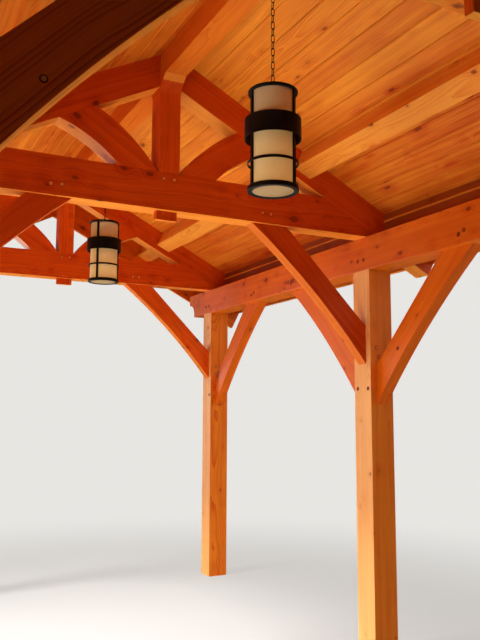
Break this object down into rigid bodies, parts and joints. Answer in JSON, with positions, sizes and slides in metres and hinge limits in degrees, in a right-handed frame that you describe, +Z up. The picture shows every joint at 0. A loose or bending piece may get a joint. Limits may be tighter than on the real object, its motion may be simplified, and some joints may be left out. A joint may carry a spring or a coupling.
{
  "type": "porch canopy",
  "caption": "Timber-framed porch canopy with a pitched boarded roof on square posts, king post trusses, arched braces and hanging lanterns.",
  "frame": {"origin": "middle of the canopy's bounding box in plan, at the feet of the posts", "axes": "+X across the canopy to the right, seen from the wall end; +Y along the ridge from the wall end to the far gable; +Z up"},
  "size_m": [4.4376, 6.623, 3.9732],
  "materials": {
    "timber": "stained and oiled timber",
    "boards": "stained ceiling boards",
    "shingles": "mineral granules on roofing felt",
    "bronze": "satin dark bronze paint",
    "frosted_glass": "frosted, cream"
  },
  "bodies": {
    "root": {"post_far_left": "timber", "post_far_right": "timber", "post_middle_left": "timber", "post_middle_right": "timber", "post_near_left": "timber", "post_near_right": "timber", "plate_left": "timber", "plate_right": "timber", "tie_beam_far": "timber", "tie_beam_middle": "timber", "tie_beam_near": "timber", "king_post_far": "timber", "king_post_middle": "timber", "king_post_near": "timber", "truss_pendants": "timber", "rafters_far": "timber", "rafters_middle": "timber", "rafters_near": "timber", "struts_far": "timber", "struts_middle": "timber", "struts_near": "timber", "tie_braces_far": "timber", "tie_braces_middle": "timber", "tie_braces_near": "timber", "plate_braces_left": "timber", "plate_braces_right": "timber", "ridge_beam": "timber", "purlin_left": "timber", "purlin_right": "timber", "roof_deck_left": "boards", "roof_deck_right": "boards", "roof_covering": "shingles", "eave_fascias": "boards", "barge_board_left": "timber", "barge_board_right": "timber", "frieze_boards": "boards", "lantern_roses": "bronze", "lantern_far_chain": "bronze", "lantern_far_frame": "bronze", "lantern_far_band": "bronze", "lantern_far_glass": "frosted_glass", "lantern_near_chain": "bronze", "lantern_near_frame": "bronze", "lantern_near_band": "bronze", "lantern_near_glass": "frosted_glass"}
  },
  "joints": []
}
